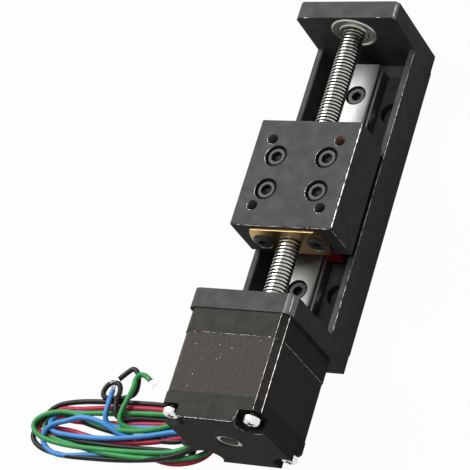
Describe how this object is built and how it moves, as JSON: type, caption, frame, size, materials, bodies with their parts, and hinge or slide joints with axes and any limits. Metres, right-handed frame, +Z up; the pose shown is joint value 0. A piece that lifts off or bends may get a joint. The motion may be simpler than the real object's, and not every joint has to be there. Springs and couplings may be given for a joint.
{
  "type": "linear slide table",
  "caption": "Miniature screw-driven linear slide table: a tapped table on a guide rail in a U-shaped base, moved by a lead screw and a square stepper motor.",
  "frame": {"origin": "on the surface it stands on, under the middle of the body from the motor's rear face to the end plate's outer face", "axes": "+Y along the travel, from the motor to the end plate; +Z up, from the base to the table; +X across the base"},
  "size_m": [0.0886, 0.1293, 0.0351],
  "materials": {
    "black_anodised": "black anodised, fine matt",
    "black_screw": "black oxide",
    "rail_steel": "ground, satin",
    "bearing_steel": "polished",
    "end_cap_plastic": "moulded, matt",
    "red_seal": "soft, satin",
    "nut_brass": "machined",
    "screw_steel": "rolled thread, bright",
    "motor_cap": "black, matt",
    "laminations": "stacked sheet edges, dark oxide",
    "copper": "enamelled copper wire",
    "magnet": "sintered, plated",
    "zinc_screw": "zinc plated",
    "grommet_black": "matt",
    "wire_black": "soft insulation, satin",
    "wire_red": "soft insulation, satin",
    "wire_green": "soft insulation, satin",
    "wire_blue": "soft insulation, satin"
  },
  "bodies": {
    "base": {"base_channel": "black_anodised", "end_plate": "black_anodised", "motor_plate": "black_anodised", "end_plate_screws": "black_screw", "motor_plate_screws": "black_screw", "rail_screws": "black_screw", "motor_mount_screws": "black_screw", "guide_rail": "rail_steel", "end_bearing_outer_ring": "bearing_steel", "end_bearing_shields": "bearing_steel", "front_bearing_outer_ring": "bearing_steel", "rear_bearing_outer_ring": "bearing_steel", "end_bearing_cage": "end_cap_plastic", "motor_front_cap": "motor_cap", "motor_rear_cap": "motor_cap", "motor_stator": "laminations", "stator_coils": "copper", "motor_case_screws": "zinc_screw", "lead_grommet": "grommet_black", "wire_lead_black": "wire_black", "wire_end_black": "wire_black", "wire_loop_black": "wire_black", "wire_hank": "wire_black", "wire_lead_red": "wire_red", "wire_end_red": "wire_red", "wire_lead_green": "wire_green", "wire_end_green": "wire_green", "wire_lead_blue": "wire_blue", "wire_end_blue": "wire_blue"},
    "screw": {"lead_screw": "screw_steel", "end_bearing_inner_ring": "bearing_steel", "front_bearing_inner_ring": "bearing_steel", "rear_bearing_inner_ring": "bearing_steel", "rotor_core_front": "laminations", "rotor_core_rear": "laminations", "rotor_magnet": "magnet"},
    "carriage": {"carriage_table": "black_anodised", "table_screws": "black_screw", "guide_block": "rail_steel", "ball_rows": "bearing_steel", "block_end_cap_front": "end_cap_plastic", "block_end_cap_rear": "end_cap_plastic", "block_seal_front": "red_seal", "block_seal_rear": "red_seal", "lead_nut": "nut_brass", "nut_screws": "black_screw"}
  },
  "joints": [
    {"name": "screw_spin", "type": "hinge", "parent": "base", "child": "screw", "pos_m": [0, 0, 0.0206], "axis": [0, 1, 0], "range_deg": [-10801, 7201]},
    {"name": "carriage_slide", "type": "slide", "parent": "base", "child": "carriage", "axis": [0, 1, 0], "range_m": [-0.02, 0.03]}
  ],
  "couplings": [
    {"joint": "screw_spin", "follows": "carriage_slide", "rad_per_m": -6283.2}
  ]
}
